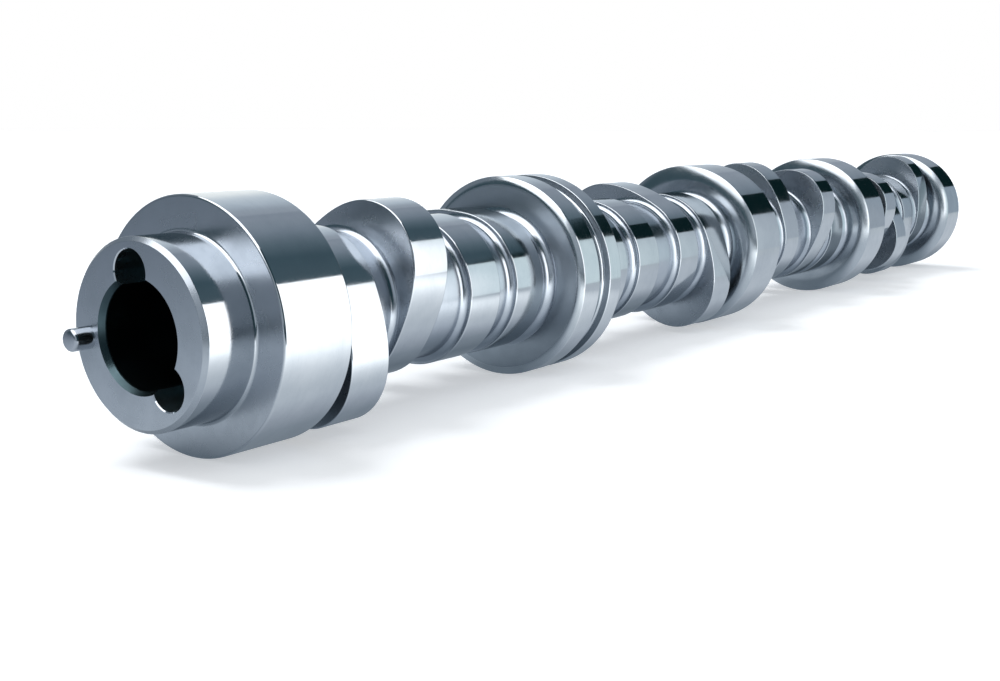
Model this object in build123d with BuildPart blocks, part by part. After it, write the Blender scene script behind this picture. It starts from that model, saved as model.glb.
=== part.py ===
from build123d import *
from math import atan2, cos, degrees, radians, sin, tan
import os

os.makedirs("parts", exist_ok=True)

# Camshaft of an overhead-valve V8 with roller followers, lying along +X.
# x = 0 is the flat face of the nose, y = z = 0 is the axis, +Z is up. All sizes in mm.
# Angles about the shaft are in degrees from +Y towards +Z.

# Journals
journal_radius = 27.5
journal_width = 18.8
journal_pitch = 111.76
journal_count = 5
first_journal_chamfer = 0.5
journal_edge_chamfer = 0.5
cheek_flat_radius = 21.5
cheek_setback = 1.2

# Oil groove round the second journal
groove_offset = 7.6
groove_width = 5.5
groove_depth = 2.4
groove_journal = 1

# Bar between journals and lobes
neck_radius = 16.7

# Lobes
base_circle_radius = 18.8
lobe_lift = 8.6
lobe_width = 12.4
lift_half_angle = 88.0
follower_roller_radius = 9.5
outline_points = 9
outer_lobe_offset = 33.2
inner_lobe_offset = 13.4

# Valve timing, in degrees of camshaft rotation
firing_order = (1, 8, 7, 2, 6, 5, 4, 3)
lobe_separation = 114.0
bank_angle = 90.0
first_intake_angle = 240.0

# Nose
nose_radius = 19.8
nose_length = 13.2
nose_chamfer = 0.9
nose_corner = 0.5
bore_radius = 11.2
bore_mouth_radius = 12.0
bore_depth = 30.0
bolt_hole_radius = 4.65
bolt_hole_depth = 22.0
bolt_circle_radius = 12.75
bolt_hole_angles = (84.0, 228.6)
drill_point_angle = 118.0

# Dowel pin in the nose face
pin_radius = 2.38
pin_stand_out = 4.65
pin_seat_depth = 9.0
pin_circle_radius = 15.35
pin_angle = 353.9
pin_chamfer = 0.65

# Rear end
rear_chamfer = 1.2
centre_drill_radius = 2.5
centre_drill_depth = 9.0
centre_cone_radius = 6.0
centre_cone_angle = 60.0

mouth_depth = (bore_mouth_radius - bore_radius) / tan(radians(centre_cone_angle / 2))
land_start = nose_length + first_journal_chamfer
rear_face_x = land_start + (journal_count - 1) * journal_pitch + journal_width
bay_centre = (journal_pitch + journal_width) / 2
lobe_offsets = (-outer_lobe_offset, -inner_lobe_offset, inner_lobe_offset, outer_lobe_offset)


def on_circle(radius, angle):
    """Point of the Y-Z plane at a radius and an angle about the shaft."""
    return (radius * cos(radians(angle)), radius * sin(radians(angle)))


def drill_point_height(radius):
    """Length of the cone that a drill leaves at the bottom of a hole."""
    return radius / sin(radians(drill_point_angle / 2)) * cos(radians(drill_point_angle / 2))


def lift(angle):
    """Follower lift at an angle from the nose: no speed and no acceleration at either end."""
    return lobe_lift * (1 - (angle / lift_half_angle) ** 2) ** 3


def lift_speed(angle):
    """Follower lift per radian of rotation."""
    share = angle / lift_half_angle
    return -6 * lobe_lift * share * (1 - share**2) ** 2 / radians(lift_half_angle)


def contact_point(angle):
    """Where the follower's roller touches the lobe, with the nose on the local X axis."""
    centre = base_circle_radius + follower_roller_radius + lift(angle)
    lean = degrees(atan2(lift_speed(angle), centre))
    centre_point = on_circle(centre, angle)
    toward_lobe = on_circle(follower_roller_radius, angle - lean)
    return (centre_point[0] - toward_lobe[0], centre_point[1] - toward_lobe[1])


def nose_angle(cylinder, exhaust):
    """Angle of a lobe's nose, from the cylinder's turn in the firing order and its bank."""
    turn = firing_order.index(cylinder) * 360 / len(firing_order)
    bank = bank_angle if cylinder % 2 == 0 else 0
    return first_intake_angle - turn - bank + (lobe_separation if exhaust else 0)


def bay_lobes(bay):
    """Nose angles of a bay's four lobes, from front to rear."""
    left = 2 * bay + 1
    right = 2 * bay + 2
    return (
        nose_angle(left, False),
        nose_angle(right, True),
        nose_angle(left, True),
        nose_angle(right, False),
    )


# Lobe outline: base circle behind, and the inner envelope of the roller over the lift
with BuildSketch() as lobe_outline:
    with BuildLine():
        angles = [
            lift_half_angle * (2 * step / (outline_points - 1) - 1) for step in range(outline_points)
        ]
        start = on_circle(base_circle_radius, -lift_half_angle)
        end = on_circle(base_circle_radius, lift_half_angle)
        Spline(
            *[contact_point(angle) for angle in angles],
            tangents=(on_circle(1, 90 - lift_half_angle), on_circle(1, 90 + lift_half_angle)),
            tangent_scalars=(1, 1),
        )
        ThreePointArc(end, (-base_circle_radius, 0), start)
    make_face()

with BuildPart() as camshaft:
    # Nose and the bar that runs through to the last journal
    with BuildSketch(Plane.YZ):
        Circle(nose_radius)
    extrude(amount=land_start)
    chamfer(camshaft.edges().filter_by(GeomType.CIRCLE).group_by(Axis.X)[0], length=nose_chamfer)
    with BuildSketch(Plane.YZ.offset(nose_length)):
        Circle(neck_radius)
    extrude(amount=rear_face_x - nose_length)

    # First journal, with the flat thrust face in front
    first_journal_length = first_journal_chamfer + journal_width + journal_edge_chamfer
    with BuildSketch(Plane.XZ):
        with Locations((nose_length, 0)):
            Rectangle(first_journal_length, journal_radius, align=Align.MIN)
        chamfer(vertices().group_by(Axis.Y)[-1].sort_by(Axis.X)[0], length=first_journal_chamfer)
        chamfer(vertices().group_by(Axis.Y)[-1].sort_by(Axis.X)[-1], length=journal_edge_chamfer)
    revolve(axis=Axis.X)

    # Other journals, whose cheeks stand out from the ground rim to a flat ring
    for index in range(1, journal_count):
        front = land_start + index * journal_pitch
        rear = front + journal_width
        last = index == journal_count - 1
        rear_rim = rear - rear_chamfer if last else rear
        rear_flat = rear if last else rear + cheek_setback
        rear_flat_radius = journal_radius - rear_chamfer if last else cheek_flat_radius
        with BuildSketch(Plane.XZ):
            with BuildLine():
                Polyline(
                    (front - cheek_setback, 0),
                    (front - cheek_setback, cheek_flat_radius),
                    (front, journal_radius),
                    (rear_rim, journal_radius),
                    (rear_flat, rear_flat_radius),
                    (rear_flat, 0),
                    close=True,
                )
            make_face()
        revolve(axis=Axis.X)

    # Oil groove
    groove_front = land_start + groove_journal * journal_pitch + groove_offset
    with BuildSketch(Plane.XZ):
        with Locations((groove_front, journal_radius - groove_depth)):
            Rectangle(groove_width, 2 * groove_depth, align=Align.MIN)
    revolve(axis=Axis.X, mode=Mode.SUBTRACT)

    # Lobes, four in each bay
    for bay in range(journal_count - 1):
        middle = land_start + bay * journal_pitch + bay_centre
        for offset_x, phase in zip(lobe_offsets, bay_lobes(bay)):
            with BuildSketch(Plane.YZ.offset(middle + offset_x - lobe_width / 2)):
                add(lobe_outline.sketch, rotation=phase)
            extrude(amount=lobe_width)

    # Corner where the nose meets the thrust face
    corner = camshaft.edges().filter_by(GeomType.CIRCLE).filter_by_position(
        Axis.X, nose_length - 0.01, nose_length + 0.01
    )
    chamfer([edge for edge in corner if abs(edge.radius - nose_radius) < 0.01], length=nose_corner)

    # Bore in the nose: a lathe centre's cone at the mouth, a straight wall and the drill's cone
    with BuildSketch(Plane.XZ):
        with BuildLine():
            Polyline(
                (0, 0),
                (0, bore_mouth_radius),
                (mouth_depth, bore_radius),
                (bore_depth, bore_radius),
                (bore_depth + drill_point_height(bore_radius), 0),
                close=True,
            )
        make_face()
    revolve(axis=Axis.X, mode=Mode.SUBTRACT)

    # Bolt holes that break into the bore
    bolt_centres = [on_circle(bolt_circle_radius, angle) for angle in bolt_hole_angles]
    with BuildSketch(Plane.YZ):
        with Locations(*bolt_centres):
            Circle(bolt_hole_radius)
    extrude(amount=bolt_hole_depth, mode=Mode.SUBTRACT)

    # Seat of the dowel pin
    with BuildSketch(Plane.YZ):
        with Locations(on_circle(pin_circle_radius, pin_angle)):
            Circle(pin_radius)
    extrude(amount=pin_seat_depth, mode=Mode.SUBTRACT)

    # Lathe centre in the rear face
    with Locations(Plane(origin=(rear_face_x, 0, 0), z_dir=(1, 0, 0))):
        CounterSinkHole(
            radius=centre_drill_radius,
            counter_sink_radius=centre_cone_radius,
            depth=centre_drill_depth,
            counter_sink_angle=centre_cone_angle,
        )

camshaft.part.label = "camshaft"

with BuildPart() as dowel_pin:
    with BuildSketch(Plane.YZ.offset(-pin_stand_out)):
        with Locations(on_circle(pin_circle_radius, pin_angle)):
            Circle(pin_radius)
    extrude(amount=pin_stand_out + pin_seat_depth)
    chamfer(dowel_pin.edges().group_by(Axis.X)[0], length=pin_chamfer)

dowel_pin.part.label = "dowel_pin"

export_step(camshaft.part, "parts/camshaft.step")
export_step(dowel_pin.part, "parts/dowel_pin.step")
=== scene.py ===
import logging
import math
from dataclasses import dataclass
from enum import Enum

import bpy
from mathutils import Matrix, Vector


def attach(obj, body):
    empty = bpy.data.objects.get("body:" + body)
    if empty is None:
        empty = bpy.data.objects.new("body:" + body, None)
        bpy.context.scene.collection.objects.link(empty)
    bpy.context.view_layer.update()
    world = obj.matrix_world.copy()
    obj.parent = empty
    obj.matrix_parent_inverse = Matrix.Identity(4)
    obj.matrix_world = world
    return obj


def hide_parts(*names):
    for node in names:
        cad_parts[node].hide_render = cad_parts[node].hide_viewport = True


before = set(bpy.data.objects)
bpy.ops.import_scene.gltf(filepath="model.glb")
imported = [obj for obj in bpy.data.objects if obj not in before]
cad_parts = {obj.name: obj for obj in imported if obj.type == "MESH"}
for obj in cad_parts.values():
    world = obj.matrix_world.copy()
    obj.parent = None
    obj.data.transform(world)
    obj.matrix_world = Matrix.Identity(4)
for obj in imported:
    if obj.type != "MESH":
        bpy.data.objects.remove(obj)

log = logging.getLogger("camshaft")

MM = 0.001
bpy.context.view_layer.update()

# Painted shade: the dark teal that steel is pulled towards where other steel mirrors it
PAINTED_SHADE_IN_REFLECTIONS = (0.02, 0.05, 0.06, 1)
# How much of a unit normal runs along the shaft on a face that looks forward or back
END_FACE = 0.9
# How far the cutters start in front of the nose face, in mm
CUTTER_LEAD = 5

Point = tuple[float, float]


class Zone(Enum):
    """The parts of the shaft that are finished in different ways, three of them with colours of painted shade
    for the hollows.
    """

    GROUND = "ground_land"
    FACE = "turned_face"
    SLATE = "matte_face"
    CHEEK = "ground_cheek"
    TURNED = "turned_bar"
    # Painted shade: dark colours for the bore's mouth and the nearly black bore, where shade falls
    HOLLOW = "painted_shade_mouth"
    DEEP = "painted_shade_bore"
    # Painted shade: a darker teal for the bolt holes' walls, where shade falls; their rougher finish is the
    # drill's own
    DRILLED = "painted_shade_bolt_hole"
    PIN = "pin_steel"


class Bench:
    """The modelling moves that several pieces share."""

    @staticmethod
    def clear() -> None:
        """Leaves object mode with nothing selected."""
        if bpy.context.object and bpy.context.object.mode != "OBJECT":
            bpy.ops.object.mode_set(mode="OBJECT")
        bpy.ops.object.select_all(action="DESELECT")

    @staticmethod
    def pick(piece: bpy.types.Object) -> None:
        """Makes one piece the selected and active one.

        Args:
            piece: The piece to work on.
        """
        Bench.clear()
        piece.select_set(True)
        bpy.context.view_layer.objects.active = piece

    @staticmethod
    def apply(piece: bpy.types.Object, kind: str, **settings: object) -> None:
        """Adds a modifier, sets it and applies it.

        Args:
            piece: The piece to change.
            kind: The modifier's type.
            **settings: The modifier's own settings.
        """
        Bench.pick(piece)
        modifier = piece.modifiers.new(kind.lower(), kind)
        for name, value in settings.items():
            setattr(modifier, name, value)
        bpy.ops.object.modifier_apply(modifier=modifier.name)

    @staticmethod
    def turn(name: str, profile: list[Point], steps: int) -> bpy.types.Object:
        """Turns a profile about the shaft's axis into a closed body.

        Args:
            name: The piece's name.
            profile: Points of along-the-axis and radius, in mm, from axis to axis.
            steps: How many facets go round.

        Returns:
            The turned piece.
        """
        Bench.clear()
        bpy.ops.mesh.primitive_plane_add(size=MM)
        piece = bpy.context.object
        piece.name = name
        piece.data.name = name
        bpy.ops.object.mode_set(mode="EDIT")
        bpy.ops.mesh.select_all(action="SELECT")
        bpy.ops.mesh.merge(type="CENTER")
        places = [Vector((x * MM, 0, radius * MM)) for x, radius in profile]
        bpy.ops.transform.translate(value=places[0])
        for here, there in zip(places, places[1:]):
            bpy.ops.mesh.extrude_region_move(TRANSFORM_OT_translate={"value": there - here})
        bpy.ops.mesh.select_all(action="SELECT")
        bpy.ops.mesh.spin(steps=steps, angle=2 * math.pi, center=(0, 0, 0), axis=(1, 0, 0))
        bpy.ops.mesh.select_all(action="SELECT")
        bpy.ops.mesh.remove_doubles(threshold=0.002 * MM)
        bpy.ops.mesh.normals_make_consistent(inside=False)
        bpy.ops.object.mode_set(mode="OBJECT")
        return piece

    @staticmethod
    def rod(name: str, start: float, end: float, radius: float, sides: int, at: Point) -> bpy.types.Object:
        """Adds a round rod along the shaft's direction.

        Args:
            name: The rod's name.
            start: Where it starts along the axis, in mm.
            end: Where it ends, in mm.
            radius: Its radius, in mm.
            sides: How many facets go round.
            at: The y and z of its own axis, in mm.

        Returns:
            The rod, with its place in its mesh.
        """
        Bench.clear()
        bpy.ops.mesh.primitive_cylinder_add(
            vertices=sides,
            radius=radius * MM,
            depth=(end - start) * MM,
            location=((start + end) / 2 * MM, at[0] * MM, at[1] * MM),
            rotation=(0, math.pi / 2, 0),
        )
        piece = bpy.context.object
        piece.name = name
        bpy.ops.object.transform_apply(location=True, rotation=True, scale=True)
        return piece

    @staticmethod
    def cone(name: str, radius: float, edge: float, sides: int, at: Point) -> bpy.types.Object:
        """Adds the cone that breaks a hole's edge at x = 0 by 45 degrees.

        Args:
            name: The cone's name.
            radius: The hole's radius, in mm.
            edge: The width of the broken edge, in mm.
            sides: How many facets go round.
            at: The y and z of the hole's axis, in mm.

        Returns:
            The cone, with its place in its mesh.
        """
        Bench.clear()
        bpy.ops.mesh.primitive_cone_add(
            vertices=sides,
            radius1=(radius + 2 * edge) * MM,
            radius2=radius * MM,
            depth=2 * edge * MM,
            location=(0, at[0] * MM, at[1] * MM),
            rotation=(0, math.pi / 2, 0),
        )
        piece = bpy.context.object
        piece.name = name
        bpy.ops.object.transform_apply(location=True, rotation=True, scale=True)
        return piece

    @staticmethod
    def smooth(piece: bpy.types.Object, angle: float) -> None:
        """Shades a piece smooth up to an angle in degrees.

        Args:
            piece: The piece.
            angle: Edges sharper than this stay crisp.
        """
        Bench.pick(piece)
        bpy.ops.object.shade_smooth_by_angle(angle=math.radians(angle))


def arc(centre: Point, radius: float, start: float, end: float, count: int) -> list[Point]:
    """Points of an arc in the profile plane.

    Args:
        centre: The arc's centre, along the axis and out from it, in mm.
        radius: The arc's radius, in mm.
        start: The first point's angle, in degrees.
        end: The last point's angle, in degrees.
        count: How many steps there are.

    Returns:
        The points, both ends among them.
    """
    turns = [math.radians(start + (end - start) * step / count) for step in range(count + 1)]
    return [(centre[0] + radius * math.cos(turn), centre[1] + radius * math.sin(turn)) for turn in turns]


def held(profile: list[Point], margin: float = 0.06) -> list[Point]:
    """Adds a point near both ends of each long straight run, so that it shades flat.

    Args:
        profile: The profile's points, in mm.
        margin: How far from the ends the new points lie, in mm.

    Returns:
        The profile with its holding points.
    """
    points = [profile[0]]
    long_run = 12 * margin
    for here, there in zip(profile, profile[1:]):
        run = math.dist(here, there)
        if run > long_run:
            share = margin / run
            points.append((here[0] + (there[0] - here[0]) * share, here[1] + (there[1] - here[1]) * share))
            points.append((there[0] - (there[0] - here[0]) * share, there[1] - (there[1] - here[1]) * share))
        points.append(there)
    return points


class Grain:
    """Shader node groups for the marks that machining and handling leave."""

    def __init__(self) -> None:
        """Builds the groups once."""
        self.marks = self._marks()
        self.patina = self._patina()

    @staticmethod
    def _group(name: str, inputs: dict[str, float], outputs: list[str]) -> bpy.types.NodeTree:
        """Starts a node group with named value sockets.

        Args:
            name: The group's name.
            inputs: Input names and their first values.
            outputs: Output names.

        Returns:
            The empty group.
        """
        group = bpy.data.node_groups.new(name, "ShaderNodeTree")
        for title, value in inputs.items():
            socket = group.interface.new_socket(title, in_out="INPUT", socket_type="NodeSocketFloat")
            socket.default_value = value
        for title in outputs:
            group.interface.new_socket(title, in_out="OUTPUT", socket_type="NodeSocketFloat")
        return group

    @staticmethod
    def _marks() -> bpy.types.NodeTree:
        """Fine lines that run round the shaft, on lands and on faces alike.

        Returns:
            A group that gives Height, from 0 to 1.
        """
        group = Grain._group("machining_marks", {"Fineness": 1.0, "Drift": 1.0}, ["Height"])
        nodes, links = group.nodes, group.links
        entry = nodes.new("NodeGroupInput")
        leave = nodes.new("NodeGroupOutput")
        place = nodes.new("ShaderNodeTexCoord")
        split = nodes.new("ShaderNodeSeparateXYZ")
        links.new(place.outputs["Object"], split.inputs[0])
        across = nodes.new("ShaderNodeCombineXYZ")
        links.new(split.outputs["Y"], across.inputs["X"])
        links.new(split.outputs["Z"], across.inputs["Y"])
        radius = nodes.new("ShaderNodeVectorMath")
        radius.operation = "LENGTH"
        links.new(across.outputs[0], radius.inputs[0])
        along = nodes.new("ShaderNodeMath")
        along.operation = "ADD"
        links.new(split.outputs["X"], along.inputs[0])
        links.new(radius.outputs["Value"], along.inputs[1])
        fine = nodes.new("ShaderNodeMath")
        fine.operation = "MULTIPLY"
        links.new(along.outputs[0], fine.inputs[0])
        links.new(entry.outputs["Fineness"], fine.inputs[1])
        pair = nodes.new("ShaderNodeCombineXYZ")
        links.new(fine.outputs[0], pair.inputs["X"])
        slow = nodes.new("ShaderNodeVectorMath")
        slow.operation = "SCALE"
        links.new(across.outputs[0], slow.inputs[0])
        links.new(entry.outputs["Drift"], slow.inputs["Scale"])
        shift = nodes.new("ShaderNodeSeparateXYZ")
        links.new(slow.outputs[0], shift.inputs[0])
        links.new(shift.outputs["X"], pair.inputs["Y"])
        links.new(shift.outputs["Y"], pair.inputs["Z"])
        lines = nodes.new("ShaderNodeTexNoise")
        lines.inputs["Scale"].default_value = 1.0
        lines.inputs["Detail"].default_value = 4.0
        lines.inputs["Roughness"].default_value = 0.65
        links.new(pair.outputs[0], lines.inputs["Vector"])
        links.new(lines.outputs["Fac"], leave.inputs["Height"])
        return group

    @staticmethod
    def _patina() -> bpy.types.NodeTree:
        """Cloudy handling marks.

        Returns:
            A group that gives Cloud, from 0 to 1.
        """
        group = Grain._group("handling_marks", {"Scale": 120.0}, ["Cloud"])
        nodes, links = group.nodes, group.links
        entry = nodes.new("NodeGroupInput")
        leave = nodes.new("NodeGroupOutput")
        place = nodes.new("ShaderNodeTexCoord")
        cloud = nodes.new("ShaderNodeTexNoise")
        cloud.inputs["Detail"].default_value = 5.0
        cloud.inputs["Roughness"].default_value = 0.6
        links.new(place.outputs["Object"], cloud.inputs["Vector"])
        links.new(entry.outputs["Scale"], cloud.inputs["Scale"])
        ramp = nodes.new("ShaderNodeMapRange")
        ramp.inputs["From Min"].default_value = 0.35
        ramp.inputs["From Max"].default_value = 0.7
        links.new(cloud.outputs["Fac"], ramp.inputs["Value"])
        links.new(ramp.outputs["Result"], leave.inputs["Cloud"])
        return group


@dataclass(frozen=True)
class SteelFinish:
    """One finish of bare steel.

    Attributes:
        zone: Where it goes.
        light: The lighter colour.
        dark: The colour of the deepest marks.
        smooth: Roughness of the cleanest spots.
        rough: Roughness of the cloudiest spots.
        fineness: How close the machining marks lie.
        drift: How fast they change round the shaft.
        relief: How strongly they stand out.
        shade: How much painted shade it shows where other steel mirrors it, as a share of a dark teal, from 0
            to 1.
    """

    zone: Zone
    light: tuple[float, float, float]
    dark: tuple[float, float, float]
    smooth: float
    rough: float
    fineness: float
    drift: float
    relief: float
    shade: float = 0.0

    def make(self, grain: Grain) -> bpy.types.Material:
        """Builds the finish as a node material.

        Args:
            grain: The shared node groups.

        Returns:
            The material.
        """
        material = bpy.data.materials.new(self.zone.value)
        material.use_nodes = True
        nodes, links = material.node_tree.nodes, material.node_tree.links
        shader = nodes["Principled BSDF"]
        shader.inputs["Metallic"].default_value = 1.0
        marks = nodes.new("ShaderNodeGroup")
        marks.node_tree = grain.marks
        marks.inputs["Fineness"].default_value = self.fineness
        marks.inputs["Drift"].default_value = self.drift
        patina = nodes.new("ShaderNodeGroup")
        patina.node_tree = grain.patina
        tone = nodes.new("ShaderNodeMix")
        tone.data_type = "RGBA"
        tone.inputs["A"].default_value = (*self.light, 1)
        tone.inputs["B"].default_value = (*self.dark, 1)
        blend = nodes.new("ShaderNodeMath")
        blend.operation = "MULTIPLY"
        links.new(marks.outputs["Height"], blend.inputs[0])
        links.new(patina.outputs["Cloud"], blend.inputs[1])
        links.new(blend.outputs[0], tone.inputs["Factor"])
        # Painted shade: to glossy rays, that is where other steel mirrors this steel, the colour is pulled
        # towards a dark teal by the shade share
        path = nodes.new("ShaderNodeLightPath")
        share = nodes.new("ShaderNodeMath")
        share.operation = "MULTIPLY"
        share.inputs[1].default_value = self.shade
        links.new(path.outputs["Is Glossy Ray"], share.inputs[0])
        depth = nodes.new("ShaderNodeMix")
        depth.data_type = "RGBA"
        depth.inputs["B"].default_value = PAINTED_SHADE_IN_REFLECTIONS
        links.new(share.outputs[0], depth.inputs["Factor"])
        links.new(tone.outputs["Result"], depth.inputs["A"])
        links.new(depth.outputs["Result"], shader.inputs["Base Color"])
        gloss = nodes.new("ShaderNodeMapRange")
        gloss.inputs["To Min"].default_value = self.smooth
        gloss.inputs["To Max"].default_value = self.rough
        links.new(patina.outputs["Cloud"], gloss.inputs["Value"])
        links.new(gloss.outputs["Result"], shader.inputs["Roughness"])
        bump = nodes.new("ShaderNodeBump")
        bump.inputs["Strength"].default_value = self.relief
        bump.inputs["Distance"].default_value = 0.01 * MM
        links.new(marks.outputs["Height"], bump.inputs["Height"])
        links.new(bump.outputs["Normal"], shader.inputs["Normal"])
        return material


# The last number of a row, where there is one, is the painted shade that the steel shows where other steel
# mirrors it
FINISHES = (
    SteelFinish(Zone.GROUND, (0.61, 0.64, 0.68), (0.47, 0.51, 0.56), 0.06, 0.12, 4200.0, 50.0, 0.3),
    SteelFinish(Zone.FACE, (0.52, 0.56, 0.61), (0.42, 0.46, 0.51), 0.22, 0.32, 2600.0, 40.0, 0.2, 0.15),
    SteelFinish(Zone.SLATE, (0.43, 0.48, 0.53), (0.36, 0.40, 0.45), 0.30, 0.38, 2600.0, 40.0, 0.2, 0.15),
    SteelFinish(Zone.CHEEK, (0.58, 0.62, 0.66), (0.44, 0.49, 0.54), 0.14, 0.22, 2600.0, 40.0, 0.25, 0.5),
    SteelFinish(Zone.TURNED, (0.54, 0.58, 0.64), (0.42, 0.47, 0.53), 0.18, 0.26, 2200.0, 40.0, 0.35, 0.25),
    # Painted shade: the mouth, bore and bolt hole rows below are darkened for the shade that falls in them
    SteelFinish(Zone.HOLLOW, (0.10, 0.15, 0.17), (0.05, 0.08, 0.09), 0.26, 0.36, 2000.0, 60.0, 0.8),
    SteelFinish(Zone.DEEP, (0.03, 0.045, 0.05), (0.015, 0.025, 0.03), 0.30, 0.40, 2000.0, 60.0, 0.8),
    SteelFinish(Zone.DRILLED, (0.34, 0.44, 0.47), (0.14, 0.23, 0.26), 0.26, 0.38, 2000.0, 60.0, 0.6),
    SteelFinish(Zone.PIN, (0.50, 0.53, 0.58), (0.42, 0.45, 0.50), 0.16, 0.26, 4200.0, 120.0, 0.4),
)


@dataclass
class Layout:
    """Where the journals and lobes stand along the shaft, in mm and degrees."""

    journal_radius: float = 27.5
    journal_width: float = 18.8
    journal_pitch: float = 111.76
    journal_count: int = 5
    thrust_face: float = 13.2
    land_start: float = 13.7
    cheek_depths: tuple[float, ...] = (0.5, 1.15, 1.2, 1.2, 1.2)
    neck_radius: float = 16.7
    lobe_fillet: float = 1.7
    journal_fillet: float = 2.4
    base_circle: float = 18.8
    lobe_lift: float = 8.6
    lobe_width: float = 12.4
    lift_half_angle: float = 88.0
    roller_radius: float = 9.5
    outer_offset: float = 33.2
    inner_offset: float = 13.4
    firing_order: tuple[int, ...] = (1, 8, 7, 2, 6, 5, 4, 3)
    lobe_separation: float = 114.0
    bank_angle: float = 90.0
    first_intake: float = 240.0
    steps: int = 144

    def journal_front(self, index: int) -> float:
        """Where a journal's ground land starts.

        Args:
            index: The journal, counted from 0 at the nose.

        Returns:
            The place along the shaft, in mm.
        """
        return self.land_start + index * self.journal_pitch

    @property
    def rear_face(self) -> float:
        """Where the shaft ends."""
        return self.journal_front(self.journal_count - 1) + self.journal_width

    def nose_angle(self, cylinder: int, exhaust: bool) -> float:
        """Angle of a lobe's nose from its cylinder's turn in the firing order.

        Args:
            cylinder: The cylinder's number; even numbers are on the right bank.
            exhaust: True for the exhaust lobe.

        Returns:
            The angle in degrees from +Y towards +Z.
        """
        turn = self.firing_order.index(cylinder) * 360 / len(self.firing_order)
        bank = self.bank_angle if cylinder % 2 == 0 else 0
        return self.first_intake - turn - bank + (self.lobe_separation if exhaust else 0)

    def lobes(self) -> list[tuple[float, float]]:
        """The front and the nose angle of each lobe, from the nose to the rear."""
        found = []
        offsets = (-self.outer_offset, -self.inner_offset, self.inner_offset, self.outer_offset)
        for bay in range(self.journal_count - 1):
            middle = self.journal_front(bay) + (self.journal_pitch + self.journal_width) / 2
            left, right = 2 * bay + 1, 2 * bay + 2
            angles = (
                self.nose_angle(left, False),
                self.nose_angle(right, True),
                self.nose_angle(left, True),
                self.nose_angle(right, False),
            )
            fronts = [middle + offset - self.lobe_width / 2 for offset in offsets]
            found += list(zip(fronts, angles))
        return found

    def gaps(self) -> list[tuple[float, float, float, float]]:
        """The bare stretches of bar: start, end and the fillet at either end."""
        solid = [(front, front + self.lobe_width, self.lobe_fillet) for front, _ in self.lobes()]
        for index, depth in enumerate(self.cheek_depths):
            front = self.journal_front(index)
            solid.append((front - depth, front + self.journal_width + depth, self.journal_fillet))
        solid.sort()
        return [(here[1], there[0], here[2], there[2]) for here, there in zip(solid, solid[1:])]


def neck(layout: Layout, gap: tuple[float, float, float, float], count: int = 8) -> list[Point]:
    """Profile of one bare stretch with its blended corners.

    Args:
        layout: The shaft's sizes.
        gap: Where the stretch starts and ends, and its two fillets, in mm.
        count: Steps in each corner.

    Returns:
        The profile's points.
    """
    start, end, first, second = gap
    return [
        *arc((start + first, layout.neck_radius + first), first, 180, 270, count),
        *arc((end - second, layout.neck_radius + second), second, 270, 360, count),
    ]


class Piece:
    """What every piece of the shaft needs to join the frame."""

    def __init__(self, finishes: dict[Zone, bpy.types.Material]) -> None:
        """Keeps the finishes.

        Args:
            finishes: The material of each zone.
        """
        self.finishes = finishes

    def dress(self, piece: bpy.types.Object, zones: list[Zone]) -> None:
        """Gives a piece its finishes, the first one on every face.

        Args:
            piece: The piece.
            zones: The zones in slot order.
        """
        piece.data.materials.clear()
        for zone in zones:
            piece.data.materials.append(self.finishes[zone])

    def join_frame(self, piece: bpy.types.Object, node: str) -> bpy.types.Object:
        """Makes a piece ride on the shaft and stand for its solid.

        Args:
            piece: The finished piece.
            node: The solid that it stands for.

        Returns:
            The piece.
        """
        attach(piece, "root")
        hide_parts(node)
        log.info("%s: %d faces", piece.name, len(piece.data.polygons))
        return piece


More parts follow.
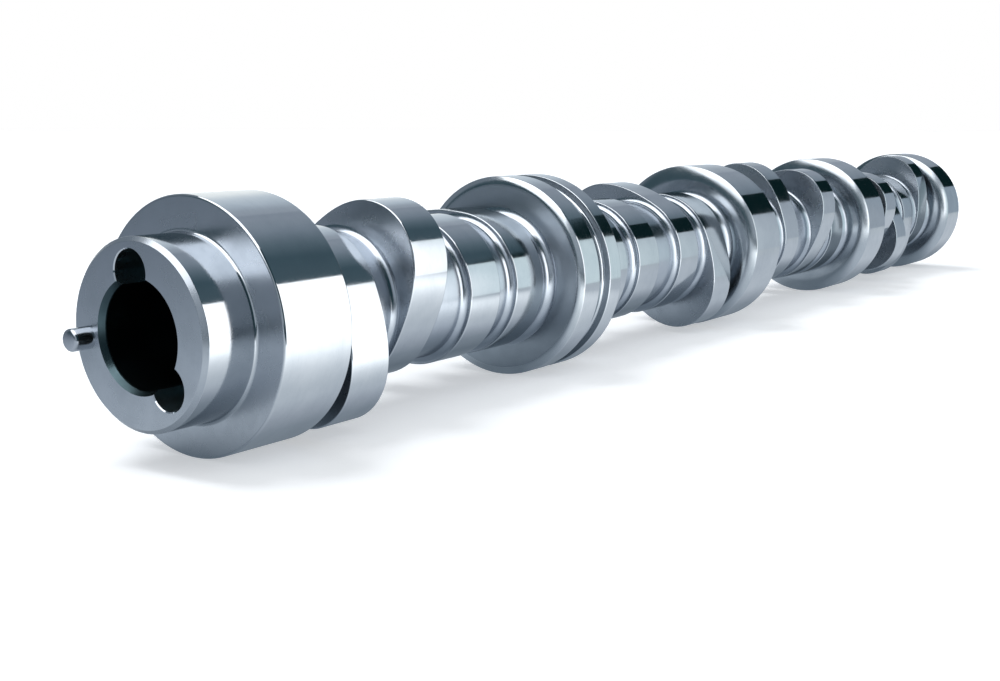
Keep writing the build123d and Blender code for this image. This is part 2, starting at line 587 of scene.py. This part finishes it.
@dataclass
class Nose:
    """The hollow nose, the first journal and the bar up to the first lobe."""

    layout: Layout
    radius: float = 19.8
    chamfer: float = 0.9
    soft: float = 0.12
    corner: float = 0.8
    bore: float = 11.2
    mouth: float = 12.0
    mouth_depth: float = 1.386
    mouth_round: tuple[Point, ...] = ((0.22, 0.0), (0.05, 0.04), (-0.07, 0.06))
    depth: float = 30.0
    drill_half_angle: float = 59.0
    rim: float = 0.5
    bolt_radius: float = 4.65
    bolt_depth: float = 22.0
    bolt_edge: float = 0.22
    bolt_circle: float = 12.75
    bolt_angles: tuple[float, ...] = (84.0, 228.6)
    pin_radius: float = 2.38
    pin_depth: float = 9.0
    pin_circle: float = 15.35
    pin_angle: float = 353.9
    cutter_sides: int = 72
    seat_sides: int = 48

    def place(self, circle: float, angle: float) -> Point:
        """The place of a point on a circle about the shaft.

        Args:
            circle: The circle's radius, in mm.
            angle: Degrees from +Y towards +Z.

        Returns:
            The point's y and z, in mm.
        """
        return (circle * math.cos(math.radians(angle)), circle * math.sin(math.radians(angle)))

    def profile(self) -> list[Point]:
        """The turned outline, from the drill's tip round the nose to inside the first lobe."""
        layout = self.layout
        front = layout.thrust_face
        rear = layout.land_start + layout.journal_width
        outer = layout.journal_radius
        rim = self.rim
        first = layout.gaps()[0]
        tip = self.depth + self.bore / math.tan(math.radians(self.drill_half_angle))
        inside = first[1] + layout.lobe_width / 2
        # A rounded 45 degree corner starts this share of its radius before the sharp one
        slope = math.tan(math.radians(22.5))
        return held([
            (tip, 0),
            (self.depth, self.bore),
            *[(self.mouth_depth + along, self.bore + out) for along, out in self.mouth_round],
            (0, self.mouth),
            *arc((self.soft, self.radius - self.chamfer - self.soft * slope), self.soft, 180, 135, count=3),
            *arc((self.chamfer + self.soft * slope, self.radius - self.soft), self.soft, 135, 90, count=3),
            *arc((front - self.corner, self.radius + self.corner), self.corner, 270, 360, count=9),
            *arc((front + rim, outer - rim), rim, 180, 90, count=8),
            *arc((rear, outer - rim), rim, 90, 0, count=8),
            *neck(layout, first),
            (inside, layout.neck_radius + layout.lobe_fillet),
            (inside, 0),
        ])

    def build(self, maker: Piece) -> bpy.types.Object:
        """Turns the nose, drills it and dresses it.

        Args:
            maker: Dresses and places pieces.

        Returns:
            The nose.
        """
        piece = Bench.turn("nose", self.profile(), self.layout.steps)
        cutters = []
        for angle in self.bolt_angles:
            at = self.place(self.bolt_circle, angle)
            drill = ("bolt_cutter", -CUTTER_LEAD, self.bolt_depth, self.bolt_radius)
            cutters.append(Bench.rod(*drill, self.cutter_sides, at))
            cutters.append(Bench.cone("edge_cutter", self.bolt_radius, self.bolt_edge, self.cutter_sides, at))
        seat = ("seat_cutter", -CUTTER_LEAD, self.pin_depth, self.pin_radius)
        cutters.append(Bench.rod(*seat, self.seat_sides, self.place(self.pin_circle, self.pin_angle)))
        for cutter in cutters:
            Bench.apply(piece, "BOOLEAN", object=cutter, operation="DIFFERENCE", solver="EXACT")
            bpy.data.objects.remove(cutter)
        zones = [zone for zone in Zone if zone not in (Zone.SLATE, Zone.PIN)]
        maker.dress(piece, zones)
        for face in piece.data.polygons:
            face.material_index = zones.index(self.zone_of(face.center / MM, face.normal))
        Bench.smooth(piece, angle=24)
        return maker.join_frame(piece, "camshaft")

    def zone_of(self, centre: Vector, normal: Vector) -> Zone:
        """The finish of a face, by its place.

        Args:
            centre: The face's centre, in mm.
            normal: The face's normal.

        Returns:
            The zone that it belongs to.
        """
        away = math.hypot(centre.y, centre.z)
        bolts = [self.place(self.bolt_circle, angle) for angle in self.bolt_angles]
        # Limits in mm, a little off the surfaces that they part
        bolt_reach = self.bolt_radius + 0.05
        bolt_start = 0.3
        bore_wall = self.bore - 0.4
        mouth_end = self.mouth_depth + 0.3
        hollow_start, hollow_end = 0.01, 38
        land_end = self.layout.land_start + self.layout.journal_width + self.rim - 0.1
        in_bolt = any(math.dist((centre.y, centre.z), bolt) < bolt_reach for bolt in bolts)
        # Painted shade: the bolt holes' walls get a darker teal for the shade in them
        if centre.x > bolt_start and in_bolt and away > bore_wall:
            return Zone.DRILLED
        # Painted shade: the bore's mouth and the bore beyond it get dark colours for the shade inside them
        if hollow_start < centre.x < hollow_end and away < self.mouth:
            return Zone.HOLLOW if centre.x < mouth_end else Zone.DEEP
        if centre.x < self.chamfer and away > self.radius - self.chamfer:
            return Zone.FACE
        if abs(normal.x) > END_FACE:
            return Zone.CHEEK if normal.x > 0 else Zone.FACE
        return Zone.TURNED if centre.x > land_end else Zone.GROUND


@dataclass
class Bar:
    """The bar between the first lobe and the last journal.

    Attributes:
        layout: The shaft's sizes.
        overlap: How far it reaches into the nose piece, in mm.
        tail: How far it reaches into the last journal, in mm.
    """

    layout: Layout
    overlap: float = 0.5
    tail: float = 4.0

    def build(self, maker: Piece) -> bpy.types.Object:
        """Turns the bar with a blended corner at each journal and lobe.

        Args:
            maker: Dresses and places pieces.

        Returns:
            The bar.
        """
        layout = self.layout
        gaps = layout.gaps()
        start = gaps[0][1] + layout.lobe_width / 2 - self.overlap
        end = gaps[-1][1] + self.tail
        profile = [(start, 0), (start, layout.neck_radius + layout.lobe_fillet)]
        for gap in gaps[1:]:
            profile += neck(layout, gap, count=7)
        profile += [(end, layout.neck_radius + layout.journal_fillet), (end, 0)]
        piece = Bench.turn("bar", held(profile), layout.steps)
        maker.dress(piece, [Zone.TURNED])
        Bench.smooth(piece, angle=24)
        return maker.join_frame(piece, "camshaft")


@dataclass
class Journal:
    """A bearing journal, whose cheeks stand out a little from its ground land.

    Attributes:
        layout: The shaft's sizes.
        index: The journal, counted from 0 at the nose.
        flat_radius: Where the cheek's flat ends and its slope starts, in mm.
        rim: How round the edge between slope and land is, in mm.
        face_zone: The finish of the flat.
        groove: An oil groove's start on the land, width and depth, in mm.
        groove_edge: How round the groove's edges are, in mm.
        groove_floor: How round the groove's inner corners are, in mm.
        rear_chamfer: The rear end's chamfer in mm, on the last journal only.
        centre_hole: The lathe centre in the rear face, as depths and radii in mm.
    """

    layout: Layout
    index: int
    flat_radius: float = 22.5
    rim: float = 0.22
    face_zone: Zone = Zone.CHEEK
    groove: tuple[float, float, float] | None = None
    groove_edge: float = 0.3
    groove_floor: float = 0.8
    rear_chamfer: float | None = None
    centre_hole: tuple[Point, ...] = ((0.0, 6.0), (6.06, 2.5), (9.0, 2.5), (10.5, 0.0))

    def cheek(self) -> list[Point]:
        """The front cheek from its flat ring over the rim, as distance behind the flat and radius."""
        depth = self.layout.cheek_depths[self.index] - self.rim
        edge = self.layout.journal_radius - self.rim
        rise = edge - self.flat_radius
        radius = (rise**2 + depth**2) / (2 * depth)
        sweep = math.degrees(math.asin(rise / radius))
        fall = arc((radius, self.flat_radius), radius, 180, 180 - sweep, count=10)
        return fall[:-1] + arc((depth + self.rim, edge), self.rim, 180 - sweep, 90, count=6)

    def profile(self) -> list[Point]:
        """The turned outline, from the axis over the rim to the axis."""
        layout = self.layout
        depth = layout.cheek_depths[self.index]
        front = layout.journal_front(self.index) - depth
        land_end = layout.journal_front(self.index) + layout.journal_width
        outer = layout.journal_radius
        cheek = self.cheek()
        points = [(front, 0), *[(front + back, radius) for back, radius in cheek]]
        if self.groove:
            start, width, drop = self.groove
            near = layout.journal_front(self.index) + start
            far = near + width
            edge, low = self.groove_edge, self.groove_floor
            points += [
                *arc((near - edge, outer - edge), edge, 90, 0, count=5),
                *arc((near + low, outer - drop + low), low, 180, 270, count=5),
                *arc((far - low, outer - drop + low), low, 270, 360, count=5),
                *arc((far + edge, outer - edge), edge, 180, 90, count=5),
            ]
        if self.rear_chamfer:
            points += [(land_end - self.rear_chamfer, outer), (land_end, outer - self.rear_chamfer)]
            points += [(land_end - deep, radius) for deep, radius in self.centre_hole]
        else:
            rear = land_end + depth
            points += [*[(rear - back, radius) for back, radius in reversed(cheek)], (rear, 0)]
        return held(points)

    def build(self, maker: Piece) -> bpy.types.Object:
        """Turns the journal and dresses its land and its cheeks.

        Args:
            maker: Dresses and places pieces.

        Returns:
            The journal.
        """
        piece = Bench.turn(f"journal_{self.index + 1}", self.profile(), self.layout.steps)
        maker.dress(piece, [Zone.GROUND, Zone.CHEEK, self.face_zone])
        # The slots are land, slope and flat, and a face leans further with each
        slope_lean, flat_lean = 0.75, 0.995
        for face in piece.data.polygons:
            lean = abs(face.normal.x)
            face.material_index = (lean > slope_lean) + (lean > flat_lean)
        Bench.smooth(piece, angle=24)
        return maker.join_frame(piece, "camshaft")


@dataclass
class Lobe:
    """A roller-follower lobe."""

    layout: Layout
    number: int
    front: float
    nose_angle: float
    edge_break: float = 0.35
    lift_steps: int = 112
    base_steps: int = 72

    def lift(self, angle: float) -> tuple[float, float]:
        """Follower lift and its speed at an angle from the nose.

        Args:
            angle: Degrees from the nose.

        Returns:
            The lift in mm and the lift per radian.
        """
        layout = self.layout
        share = angle / layout.lift_half_angle
        speed = -6 * layout.lobe_lift * share * (1 - share**2) ** 2 / math.radians(layout.lift_half_angle)
        return layout.lobe_lift * (1 - share**2) ** 3, speed

    def outline(self) -> list[Point]:
        """The lobe's outline about the shaft, where the follower's roller touches it."""
        layout = self.layout
        points = []
        for step in range(self.lift_steps + 1):
            angle = layout.lift_half_angle * (2 * step / self.lift_steps - 1)
            lift, speed = self.lift(angle)
            centre = layout.base_circle + layout.roller_radius + lift
            lean = math.atan2(speed, centre)
            turn = math.radians(angle + self.nose_angle)
            points.append((
                centre * math.cos(turn) - layout.roller_radius * math.cos(turn - lean),
                centre * math.sin(turn) - layout.roller_radius * math.sin(turn - lean),
            ))
        sweep = 360 - 2 * layout.lift_half_angle
        for step in range(1, self.base_steps):
            turn = math.radians(self.nose_angle + layout.lift_half_angle + sweep * step / self.base_steps)
            points.append((layout.base_circle * math.cos(turn), layout.base_circle * math.sin(turn)))
        return points

    def build(self, maker: Piece) -> bpy.types.Object:
        """Shapes a disc to the outline, gives it its width and breaks its edges.

        Args:
            maker: Dresses and places pieces.

        Returns:
            The lobe.
        """
        outline = self.outline()
        Bench.clear()
        size = self.layout.base_circle * MM
        bpy.ops.mesh.primitive_circle_add(vertices=len(outline), radius=size, fill_type="NGON")
        piece = bpy.context.object
        piece.name = f"lobe_{self.number:02d}"
        for vertex, (y, z) in zip(piece.data.vertices, outline):
            vertex.co = (self.front * MM, y * MM, z * MM)
        bpy.ops.object.mode_set(mode="EDIT")
        bpy.ops.mesh.select_all(action="SELECT")
        width = self.layout.lobe_width * MM
        bpy.ops.mesh.extrude_region_move(TRANSFORM_OT_translate={"value": (width, 0, 0)})
        bpy.ops.mesh.select_all(action="SELECT")
        bpy.ops.mesh.normals_make_consistent(inside=False)
        bpy.ops.mesh.faces_shade_smooth()
        bpy.ops.object.mode_set(mode="OBJECT")
        Bench.apply(
            piece, "BEVEL", width=self.edge_break * MM, segments=3, limit_method="ANGLE",
            angle_limit=math.radians(40), harden_normals=True, use_clamp_overlap=False,
        )
        maker.dress(piece, [Zone.GROUND, Zone.FACE])
        for face in piece.data.polygons:
            face.material_index = 1 if abs(face.normal.x) > END_FACE else 0
        return maker.join_frame(piece, "camshaft")


@dataclass
class DowelPin:
    """The pin in the nose face that sets the timing gear's angle."""

    nose: Nose
    stand_out: float = 4.65
    chamfer: float = 0.65
    play: float = 0.004
    sides: int = 64

    def build(self, maker: Piece) -> bpy.types.Object:
        """Makes the pin and rounds its free end.

        Args:
            maker: Dresses and places pieces.

        Returns:
            The pin.
        """
        at = self.nose.place(self.nose.pin_circle, self.nose.pin_angle)
        radius = self.nose.pin_radius - self.play
        piece = Bench.rod("dowel", -self.stand_out, self.nose.pin_depth, radius, self.sides, at)
        bpy.ops.object.mode_set(mode="EDIT")
        bpy.ops.mesh.select_all(action="DESELECT")
        bpy.ops.object.mode_set(mode="OBJECT")
        for face in piece.data.polygons:
            face.select = face.normal.x < -END_FACE
        bpy.ops.object.mode_set(mode="EDIT")
        bpy.ops.mesh.bevel(offset=self.chamfer * MM, segments=3, profile=0.45)
        bpy.ops.object.mode_set(mode="OBJECT")
        maker.dress(piece, [Zone.PIN])
        Bench.smooth(piece, angle=40)
        return maker.join_frame(piece, "dowel_pin")


Stop = tuple[float, tuple[float, float, float]]


class Blend:
    """Small steps that the studio's node trees share."""

    def __init__(self, tree: bpy.types.NodeTree) -> None:
        """Keeps the tree.

        Args:
            tree: The node tree to build in.
        """
        self.nodes = tree.nodes
        self.links = tree.links

    def ramp(self, value: bpy.types.NodeSocket, low: float, high: float,
             stops: list[Stop]) -> bpy.types.NodeSocket:
        """Turns a value into a colour.

        Args:
            value: The value to read.
            low: The value of the ramp's start.
            high: The value of the ramp's end.
            stops: Values and their colours, in order.

        Returns:
            The colour.
        """
        spread = self.nodes.new("ShaderNodeMapRange")
        spread.inputs["From Min"].default_value = low
        spread.inputs["From Max"].default_value = high
        self.links.new(value, spread.inputs["Value"])
        ramp = self.nodes.new("ShaderNodeValToRGB")
        band = ramp.color_ramp
        while len(band.elements) < len(stops):
            band.elements.new(0.5)
        for element, (place, _) in zip(band.elements, stops):
            element.position = (place - low) / (high - low)
        for element, (_, colour) in zip(band.elements, stops):
            element.color = (*colour, 1)
        self.links.new(spread.outputs["Result"], ramp.inputs["Fac"])
        return ramp.outputs["Color"]

    def mix(self, kind: str, share: bpy.types.NodeSocket | float, first: bpy.types.NodeSocket,
            second: bpy.types.NodeSocket) -> bpy.types.NodeSocket:
        """Blends two colours.

        Args:
            kind: The way they are blended.
            share: How much of the second one there is.
            first: The first colour.
            second: The second colour.

        Returns:
            The blended colour.
        """
        node = self.nodes.new("ShaderNodeMix")
        node.data_type = "RGBA"
        node.blend_type = kind
        if isinstance(share, float):
            node.inputs["Factor"].default_value = share
        else:
            self.links.new(share, node.inputs["Factor"])
        self.links.new(first, node.inputs["A"])
        self.links.new(second, node.inputs["B"])
        return node.outputs["Result"]

    def axes(self, socket: str) -> bpy.types.ShaderNodeSeparateXYZ:
        """Splits a texture coordinate into its three numbers.

        Args:
            socket: The coordinate's name.

        Returns:
            The node that gives X, Y and Z.
        """
        place = self.nodes.new("ShaderNodeTexCoord")
        split = self.nodes.new("ShaderNodeSeparateXYZ")
        self.links.new(place.outputs[socket], split.inputs[0])
        return split


@dataclass
class Studio:
    """The floor, the cards that the steel mirrors, the lamps and the camera."""

    floor_height: float = -27.5
    camera_place: tuple[float, float, float] = (-161.245, -200.032, 40.955)
    camera_aim: tuple[float, float, float] = (0.80843, 0.56450, -0.16667)
    lens: float = 45.638

    def camera(self) -> None:
        """Stands the camera at the photograph's viewing angle."""
        data = bpy.data.cameras.new("camera")
        data.lens = self.lens
        data.sensor_width = 36
        data.clip_start = 0.01
        data.clip_end = 50
        camera = bpy.data.objects.new("camera", data)
        bpy.context.scene.collection.objects.link(camera)
        forward = Vector(self.camera_aim).normalized()
        right = forward.cross(Vector((0, 0, 1))).normalized()
        up = right.cross(forward)
        turn = Matrix((right, up, -forward)).transposed().to_4x4()
        camera.matrix_world = Matrix.Translation(Vector(self.camera_place) * MM) @ turn
        bpy.context.scene.camera = camera

    def world(self) -> None:
        """A room that is pale behind the shaft and dark in front of it, and white to the camera."""
        world = bpy.data.worlds.new("room")
        world.use_nodes = True
        nodes, links = world.node_tree.nodes, world.node_tree.links
        blend = Blend(world.node_tree)
        # Directions run from -1 to 1; +Y is away from the camera and +X along the shaft to its rear
        way = blend.axes("Generated")
        behind = blend.ramp(way.outputs["Y"], -1, 1, [
            (-0.50, (0.075, 0.120, 0.145)), (-0.35, (0.065, 0.110, 0.135)), (-0.20, (0.135, 0.190, 0.225)),
            (-0.10, (0.20, 0.255, 0.30)), (-0.02, (0.26, 0.315, 0.37)), (0.09, (0.31, 0.365, 0.42)),
            (0.18, (0.34, 0.39, 0.45)), (0.258, (0.325, 0.375, 0.435)), (0.268, (0.40, 0.45, 0.51)),
            (0.35, (0.43, 0.49, 0.55)), (0.45, (0.58, 0.66, 0.73)), (0.58, (0.72, 0.80, 0.86)),
            (0.68, (1.0, 1.05, 1.05)),
        ])
        front = blend.ramp(way.outputs["Y"], -1, 1, [
            (-0.60, (0.015, 0.045, 0.055)), (-0.15, (0.035, 0.075, 0.090)), (0.30, (0.15, 0.19, 0.23)),
            (0.80, (0.21, 0.25, 0.29)),
        ])
        # The grey that the chamfer of the nose mirrors
        beside = blend.ramp(way.outputs["Y"], -1, 1, [
            (-0.25, (0.40, 0.45, 0.50)), (-0.10, (0.05, 0.09, 0.11)),
        ])
        near = blend.ramp(way.outputs["X"], -1, 1, [(-0.62, (1, 1, 1)), (-0.45, (0, 0, 0))])
        front = blend.mix("MIX", near, front, beside)
        side = blend.ramp(way.outputs["X"], -1, 1, [(0.25, (0, 0, 0)), (0.60, (1, 1, 1))])
        # What the steel mirrors, what lights the shaft, and the white that the camera sees
        mirrored = nodes.new("ShaderNodeBackground")
        links.new(blend.mix("MIX", side, front, behind), mirrored.inputs["Color"])
        room = nodes["Background"]
        room.inputs["Color"].default_value = (0.92, 0.96, 1.0, 1)
        room.inputs["Strength"].default_value = 0.32
        white = nodes.new("ShaderNodeBackground")
        white.inputs["Color"].default_value = (1, 1, 1, 1)
        path = nodes.new("ShaderNodeLightPath")
        to_steel = nodes.new("ShaderNodeMixShader")
        links.new(path.outputs["Is Glossy Ray"], to_steel.inputs[0])
        links.new(room.outputs[0], to_steel.inputs[1])
        links.new(mirrored.outputs[0], to_steel.inputs[2])
        to_camera = nodes.new("ShaderNodeMixShader")
        links.new(path.outputs["Is Camera Ray"], to_camera.inputs[0])
        links.new(to_steel.outputs[0], to_camera.inputs[1])
        links.new(white.outputs[0], to_camera.inputs[2])
        links.new(to_camera.outputs[0], nodes["World Output"].inputs["Surface"])
        bpy.context.scene.world = world

    def floor(self) -> None:
        """A wide pale floor that keeps the shaft's shadow, and that the steel mirrors as an emission with
        painted light and painted shadow.
        """
        Bench.clear()
        bpy.ops.mesh.primitive_plane_add(size=30, location=(0, 0, self.floor_height * MM))
        floor = bpy.context.object
        floor.name = "floor"
        material = bpy.data.materials.new("floor")
        material.use_nodes = True
        nodes, links = material.node_tree.nodes, material.node_tree.links
        blend = Blend(material.node_tree)
        place = blend.axes("Object")
        pale = nodes["Principled BSDF"]
        pale.inputs["Base Color"].default_value = (0.86, 0.89, 0.92, 1)
        pale.inputs["Roughness"].default_value = 0.9
        pale.inputs["Specular IOR Level"].default_value = 0.0
        pale.inputs["Emission Color"].default_value = (1, 1, 1, 1)
        pale.inputs["Emission Strength"].default_value = 0.42
        # Painted light and painted shadow that the steel mirrors in place of the floor, in metres across the
        # shaft and along it
        wide, long = (-0.2, 0.6), (-0.1, 0.5)
        # Painted shadow: a dark band on the floor under the shaft, with pale floor on both sides
        across = blend.ramp(place.outputs["Y"], *wide, [
            (-0.160, (0.05, 0.08, 0.10)), (-0.130, (0.60, 0.66, 0.70)), (-0.060, (0.64, 0.70, 0.76)),
            (-0.027, (0.60, 0.66, 0.72)), (-0.021, (0.42, 0.47, 0.53)), (-0.016, (0.28, 0.33, 0.38)),
            (-0.006, (0.17, 0.21, 0.25)), (0.008, (0.20, 0.24, 0.28)), (0.022, (0.50, 0.56, 0.62)),
            (0.065, (0.43, 0.49, 0.55)), (0.110, (0.34, 0.39, 0.45)), (0.270, (0.21, 0.25, 0.30)),
            (0.600, (0.18, 0.22, 0.26)),
        ])
        # Painted light: ahead of the nose the floor has no shadow band and dims away from the white card's
        # side
        ahead = blend.ramp(place.outputs["Y"], *wide, [
            (-0.190, (0.05, 0.08, 0.10)), (-0.168, (0.60, 0.66, 0.70)), (-0.060, (0.64, 0.70, 0.76)),
            (-0.027, (0.62, 0.68, 0.74)), (0.022, (0.62, 0.68, 0.74)), (0.065, (0.54, 0.60, 0.67)),
            (0.110, (0.43, 0.49, 0.55)), (0.270, (0.27, 0.31, 0.37)), (0.600, (0.22, 0.26, 0.31)),
        ])
        # The painted shadow band starts where the shaft starts along the floor
        under = blend.ramp(place.outputs["X"], *long, [(-0.025, (0, 0, 0)), (0.012, (1, 1, 1))])
        across = blend.mix("MIX", under, ahead, across)
        # Painted light: a pool of light on the floor near the white card, limited along the shaft
        painted_light_pool = blend.ramp(place.outputs["Y"], *wide, [
            (-0.150, (0.0, 0.0, 0.0)), (-0.130, (1.5, 1.5, 1.5)), (-0.076, (1.05, 1.05, 1.0)),
            (-0.049, (0.38, 0.38, 0.36)), (-0.035, (0.10, 0.10, 0.09)), (-0.026, (0.0, 0.0, 0.0)),
        ])
        reach = blend.ramp(place.outputs["X"], *long, [
            (-0.060, (0, 0, 0)), (0.000, (0.6, 0.6, 0.6)), (0.060, (1, 1, 1)), (0.150, (1, 1, 1)),
            (0.230, (0, 0, 0)),
        ])
        # To the steel the floor is this emission of painted light and shadow, not its lit look
        glow = nodes.new("ShaderNodeEmission")
        lit = blend.mix("MULTIPLY", 1.0, painted_light_pool, reach)
        links.new(blend.mix("ADD", 1.0, across, lit), glow.inputs["Color"])
        path = nodes.new("ShaderNodeLightPath")
        mirrored = nodes.new("ShaderNodeMath")
        mirrored.operation = "MAXIMUM"
        links.new(path.outputs["Is Glossy Ray"], mirrored.inputs[0])
        links.new(path.outputs["Is Transmission Ray"], mirrored.inputs[1])
        both = nodes.new("ShaderNodeMixShader")
        links.new(mirrored.outputs[0], both.inputs[0])
        links.new(pale.outputs[0], both.inputs[1])
        links.new(glow.outputs[0], both.inputs[2])
        links.new(both.outputs[0], nodes["Material Output"].inputs["Surface"])
        floor.data.materials.append(material)

    def card(self, name: str, corners: list[tuple[float, float, float]], stops: list[Stop]) -> None:
        """A flat card that only shows as a reflection.

        Args:
            name: The card's name.
            corners: Its corners in mm, in order round it.
            stops: Its light along the shaft: places in mm and colours.
        """
        mesh = bpy.data.meshes.new(name)
        mesh.from_pydata([Vector(corner) * MM for corner in corners], [], [list(range(len(corners)))])
        card = bpy.data.objects.new(name, mesh)
        bpy.context.scene.collection.objects.link(card)
        material = bpy.data.materials.new(name)
        material.use_nodes = True
        nodes, links = material.node_tree.nodes, material.node_tree.links
        nodes.remove(nodes["Principled BSDF"])
        blend = Blend(material.node_tree)
        along = blend.axes("Object").outputs["X"]
        glow = nodes.new("ShaderNodeEmission")
        low, high = stops[0][0] * MM, stops[-1][0] * MM
        light = blend.ramp(along, low, high, [(x * MM, colour) for x, colour in stops])
        links.new(light, glow.inputs["Color"])
        links.new(glow.outputs[0], nodes["Material Output"].inputs["Surface"])
        mesh.materials.append(material)
        card.visible_camera = False
        card.visible_diffuse = False
        card.visible_shadow = False

    def sun(self, name: str, aim: tuple[float, float, float], spread: float, strength: float) -> None:
        """A soft light from far off.

        Args:
            name: The light's name.
            aim: The way the light goes.
            spread: How wide its source looks, in degrees.
            strength: Its strength.
        """
        data = bpy.data.lights.new(name, "SUN")
        data.angle = math.radians(spread)
        data.energy = strength
        light = bpy.data.objects.new(name, data)
        bpy.context.scene.collection.objects.link(light)
        light.rotation_mode = "QUATERNION"
        light.rotation_quaternion = Vector(aim).to_track_quat("-Z", "Y")
        light.visible_glossy = False

    def build(self) -> None:
        """Sets up the whole studio."""
        self.camera()
        self.world()
        self.floor()
        self.card(
            "white_card",
            [(85, -130, -27.4), (2400, -130, -27.4), (2400, -130, 150), (85, -130, 86)],
            [(80, (2.2, 2.2, 2.2)), (190, (2.0, 2.0, 2.0)), (225, (1.3, 1.38, 1.4)),
             (260, (0.88, 1.02, 1.06)), (310, (0.84, 0.98, 1.0)), (490, (0.57, 0.64, 0.70)),
             (665, (0.40, 0.46, 0.52)), (840, (0.34, 0.42, 0.49)), (1200, (0.30, 0.38, 0.46))],
        )
        self.card(
            "black_card",
            [(2000, -1120, -27), (2000, 60, -27), (2000, 60, 440), (2000, -150, 680), (2000, -475, 1080),
             (2000, -1120, 880)],
            [(1900, (0.004, 0.016, 0.018)), (2100, (0.004, 0.016, 0.018))],
        )
        self.card(
            "top_box",
            [(-820, -180, 330), (130, -180, 330), (130, 230, 330), (-820, 230, 330)],
            [(-820, (0.6, 0.65, 0.7)), (-480, (1.8, 1.85, 1.9)), (-400, (2.2, 2.25, 2.3)),
             (130, (2.4, 2.4, 2.4))],
        )
        self.sun("key", (0.05, -0.40, -0.92), spread=30, strength=1.5)
        self.sun("fill", (0.3, 0.25, -0.92), spread=60, strength=0.5)


def main() -> None:
    """Builds the shaft piece by piece and then the studio round it."""
    logging.basicConfig(level=logging.INFO, format="%(message)s")
    bpy.context.scene.view_settings.view_transform = "Standard"
    grain = Grain()
    maker = Piece({finish.zone: finish.make(grain) for finish in FINISHES})
    layout = Layout()
    nose = Nose(layout)
    nose.build(maker)
    DowelPin(nose).build(maker)
    Bar(layout).build(maker)
    oil_groove = (7.6, 5.5, 2.4)
    Journal(layout, 1, flat_radius=24.9, rim=0.4, face_zone=Zone.SLATE, groove=oil_groove).build(maker)
    Journal(layout, 2).build(maker)
    Journal(layout, 3).build(maker)
    Journal(layout, 4, rear_chamfer=1.2).build(maker)
    for number, (front, angle) in enumerate(layout.lobes(), start=1):
        Lobe(layout, number, front, angle).build(maker)
    Studio().build()


if __name__ == "__main__":
    main()
